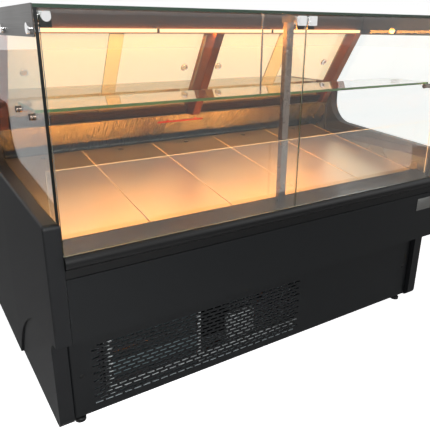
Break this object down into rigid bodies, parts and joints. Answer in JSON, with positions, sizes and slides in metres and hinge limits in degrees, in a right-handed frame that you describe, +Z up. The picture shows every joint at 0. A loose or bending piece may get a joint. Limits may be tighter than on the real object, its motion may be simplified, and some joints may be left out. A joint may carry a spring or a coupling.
{
  "type": "refrigerated serve-over display case",
  "caption": "Refrigerated serve-over display case with upright front glass, a glass shelf, a sloping steel deck, leaning sliding doors behind and a grille over the machine space.",
  "frame": {"origin": "on the floor, under the middle of the case's overall box", "axes": "+X along the counter, to the right as the customer sees it; +Y from the customer to the staff; +Z up"},
  "size_m": [1.656, 1.1, 1.22],
  "materials": {
    "moulded_panel": "fine-grained moulded side panel",
    "clear_glass": "clear tempered glass",
    "door_glass": "clear tempered glass with bright finger pull",
    "dark_aluminium": "dark anodised",
    "black_sheet": "satin black powder coat",
    "bumper_plastic": "satin extruded bumper",
    "dark_sill_steel": "satin dark coating",
    "foam_body": "foam core in coated sheet",
    "stainless": "fine brushed",
    "lamp": "frosted tube, lit",
    "bright_chrome": "polished",
    "control_plastic": "moulded black",
    "rocker_plastic": "gloss black",
    "galvanised_steel": "zinc coated",
    "foot_rubber": "matt black",
    "gland_plastic": "moulded black",
    "compressor_paint": "gloss black enamel",
    "coil_aluminium": "bare fins and casing",
    "fan_plastic": "moulded dark grey",
    "motor_paint": "satin dark paint",
    "tray_plastic": "moulded light grey"
  },
  "bodies": {
    "case": {"base_frame": "galvanised_steel", "bumper_rail": "bumper_plastic", "cable_gland": "gland_plastic", "canopy_bracket_left": "dark_aluminium", "canopy_bracket_right": "dark_aluminium", "centre_hinge_arm": "bright_chrome", "centre_pillar": "bright_chrome", "compressor": "compressor_paint", "condenser_coil": "coil_aluminium", "condenser_fan_motor": "motor_paint", "door_tracks": "dark_aluminium", "drain_tray": "tray_plastic", "evaporator_coil": "coil_aluminium", "evaporator_fan_plate": "galvanised_steel", "fan_shroud": "galvanised_steel", "front_hinge_pins": "bright_chrome", "front_sill": "dark_sill_steel", "glass_shelf": "clear_glass", "header_beam": "dark_aluminium", "inner_liner": "stainless", "inner_riser_glass": "clear_glass", "insulated_tub": "foam_body", "lamp_tube": "lamp", "levelling_feet": "foot_rubber", "lower_front_panel": "black_sheet", "point_fixings": "bright_chrome", "rear_panel": "black_sheet", "rear_post_left": "dark_aluminium", "rear_post_middle": "dark_aluminium", "rear_post_right": "dark_aluminium", "rear_worktop": "stainless", "shelf_clamps": "bright_chrome", "shelf_hanger": "bright_chrome", "side_glass_clamps": "dark_aluminium", "side_glass_left": "clear_glass", "side_glass_right": "clear_glass", "side_panel_left": "moulded_panel", "side_panel_right": "moulded_panel", "switch_housings": "control_plastic", "thermostat": "control_plastic", "top_glass": "clear_glass", "upper_front_panel": "black_sheet"},
    "front_glass_left": {"front_glass_left": "clear_glass", "front_hinge_leaves_left": "bright_chrome"},
    "front_glass_right": {"front_glass_right": "clear_glass", "front_hinge_leaves_right": "bright_chrome"},
    "sliding_door_1": {"sliding_door_1": "door_glass"},
    "sliding_door_2": {"sliding_door_2": "door_glass"},
    "sliding_door_3": {"sliding_door_3": "door_glass"},
    "sliding_door_4": {"sliding_door_4": "door_glass"},
    "deck_sheet_1": {"deck_sheet_1": "stainless"},
    "deck_sheet_2": {"deck_sheet_2": "stainless"},
    "deck_sheet_3": {"deck_sheet_3": "stainless"},
    "deck_sheet_4": {"deck_sheet_4": "stainless"},
    "deck_sheet_5": {"deck_sheet_5": "stainless"},
    "condenser_fan": {"condenser_fan": "fan_plastic"},
    "evaporator_fan_left": {"evaporator_fan_left": "fan_plastic"},
    "evaporator_fan_right": {"evaporator_fan_right": "fan_plastic"},
    "light_switch": {"light_switch": "rocker_plastic"},
    "main_switch": {"main_switch": "rocker_plastic"}
  },
  "joints": [
    {"name": "front_glass_left_hinge", "type": "hinge", "parent": "case", "child": "front_glass_left", "pos_m": [0, -0.52, 1.196], "axis": [-1, 0, 0], "range_deg": [0, 60]},
    {"name": "front_glass_right_hinge", "type": "hinge", "parent": "case", "child": "front_glass_right", "pos_m": [0, -0.52, 1.196], "axis": [-1, 0, 0], "range_deg": [0, 60]},
    {"name": "sliding_door_1_slide", "type": "slide", "parent": "case", "child": "sliding_door_1", "axis": [1, 0, 0], "range_m": [0, 0.329]},
    {"name": "sliding_door_2_slide", "type": "slide", "parent": "case", "child": "sliding_door_2", "axis": [1, 0, 0], "range_m": [-0.329, 0]},
    {"name": "sliding_door_3_slide", "type": "slide", "parent": "case", "child": "sliding_door_3", "axis": [1, 0, 0], "range_m": [0, 0.329]},
    {"name": "sliding_door_4_slide", "type": "slide", "parent": "case", "child": "sliding_door_4", "axis": [1, 0, 0], "range_m": [-0.329, 0]},
    {"name": "deck_sheet_1_lift", "type": "slide", "parent": "case", "child": "deck_sheet_1", "axis": [0, 0, 1], "range_m": [0, 0.024]},
    {"name": "deck_sheet_2_lift", "type": "slide", "parent": "case", "child": "deck_sheet_2", "axis": [0, 0, 1], "range_m": [0, 0.024]},
    {"name": "deck_sheet_3_lift", "type": "slide", "parent": "case", "child": "deck_sheet_3", "axis": [0, 0, 1], "range_m": [0, 0.024]},
    {"name": "deck_sheet_4_lift", "type": "slide", "parent": "case", "child": "deck_sheet_4", "axis": [0, 0, 1], "range_m": [0, 0.024]},
    {"name": "deck_sheet_5_lift", "type": "slide", "parent": "case", "child": "deck_sheet_5", "axis": [0, 0, 1], "range_m": [0, 0.024]},
    {"name": "condenser_fan_spin", "type": "hinge", "parent": "case", "child": "condenser_fan", "pos_m": [-0.47, -0.367, 0.179], "axis": [0, 1, 0], "continuous": true},
    {"name": "evaporator_fan_left_spin", "type": "hinge", "parent": "case", "child": "evaporator_fan_left", "pos_m": [-0.26, -0.115, 0.527], "axis": [0, 1, 0], "continuous": true},
    {"name": "evaporator_fan_right_spin", "type": "hinge", "parent": "case", "child": "evaporator_fan_right", "pos_m": [0.26, -0.115, 0.527], "axis": [0, 1, 0], "continuous": true},
    {"name": "light_switch_rock", "type": "hinge", "parent": "case", "child": "light_switch", "pos_m": [0.476, 0.5405, 0.82], "axis": [1, 0, 0], "range_deg": [-12, 0]},
    {"name": "main_switch_rock", "type": "hinge", "parent": "case", "child": "main_switch", "pos_m": [0.43, 0.5405, 0.82], "axis": [1, 0, 0], "range_deg": [-12, 0]}
  ]
}
